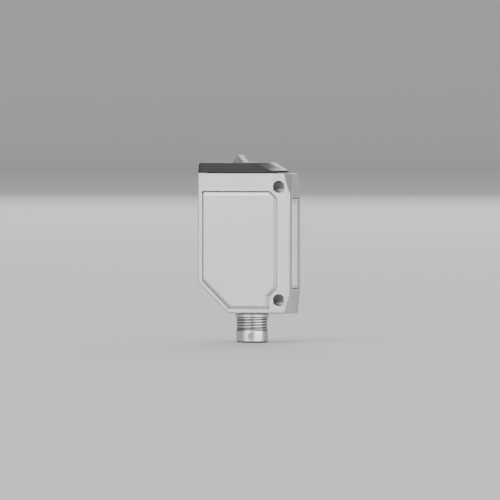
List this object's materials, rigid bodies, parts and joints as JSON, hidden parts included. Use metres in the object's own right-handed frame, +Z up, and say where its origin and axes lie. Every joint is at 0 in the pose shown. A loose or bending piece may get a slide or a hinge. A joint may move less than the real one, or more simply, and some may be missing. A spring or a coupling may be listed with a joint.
{
  "type": "through-beam photoelectric sensor",
  "caption": "Flat metal-housed through-beam photoelectric sensor, emitter half, with a tall front window, a bevelled side cover, a dark top cap with a signal prism and a round threaded plug.",
  "frame": {"origin": "the point midway between the two mounting holes, on the mounting face, which is the side face opposite the cover", "axes": "+X is the way the light leaves the front window, +Y is the outward normal of the mounting face, +Z is up, away from the plug"},
  "size_m": [0.0343, 0.016, 0.0676],
  "materials": {
    "housing_metal": "satin nickel-plated die casting",
    "cover_metal": "satin nickel-plated plate",
    "gasket_rubber": "matte",
    "window_plastic": "clear, over a pale mask",
    "lens_acrylic": "clear polished",
    "black_plastic": "fine matte",
    "emitter_epoxy": "clear tinted",
    "board_laminate": "solder mask",
    "chip_epoxy": "moulded epoxy",
    "capacitor_case": "moulded epoxy",
    "choke_ferrite": "ferrite",
    "indicator_epoxy": "milky",
    "cap_plastic": "smooth dark grey, half gloss",
    "prism_acrylic": "clear, unlit",
    "plug_metal": "nickel-plated, turned",
    "contact_gold": "gold-plated"
  },
  "bodies": {
    "root": {"housing": "housing_metal", "side_cover": "cover_metal", "cover_gasket": "gasket_rubber", "front_window": "window_plastic", "window_gasket": "gasket_rubber", "lens": "lens_acrylic", "lens_holder": "black_plastic", "emitter_led": "emitter_epoxy", "emitter_board": "board_laminate", "main_board": "board_laminate", "plug_board": "board_laminate", "controller_chip": "chip_epoxy", "voltage_regulator": "chip_epoxy", "driver_transistor": "chip_epoxy", "filter_capacitor_1": "capacitor_case", "filter_capacitor_2": "capacitor_case", "choke": "choke_ferrite", "indicator_led": "indicator_epoxy", "top_cap": "cap_plastic", "cap_gasket": "gasket_rubber", "signal_prism": "prism_acrylic", "connector_shell": "plug_metal", "connector_seal": "gasket_rubber", "contact_carrier": "black_plastic", "contact_pin_1": "contact_gold", "contact_pin_2": "contact_gold", "contact_pin_3": "contact_gold", "contact_pin_4": "contact_gold"}
  },
  "joints": []
}
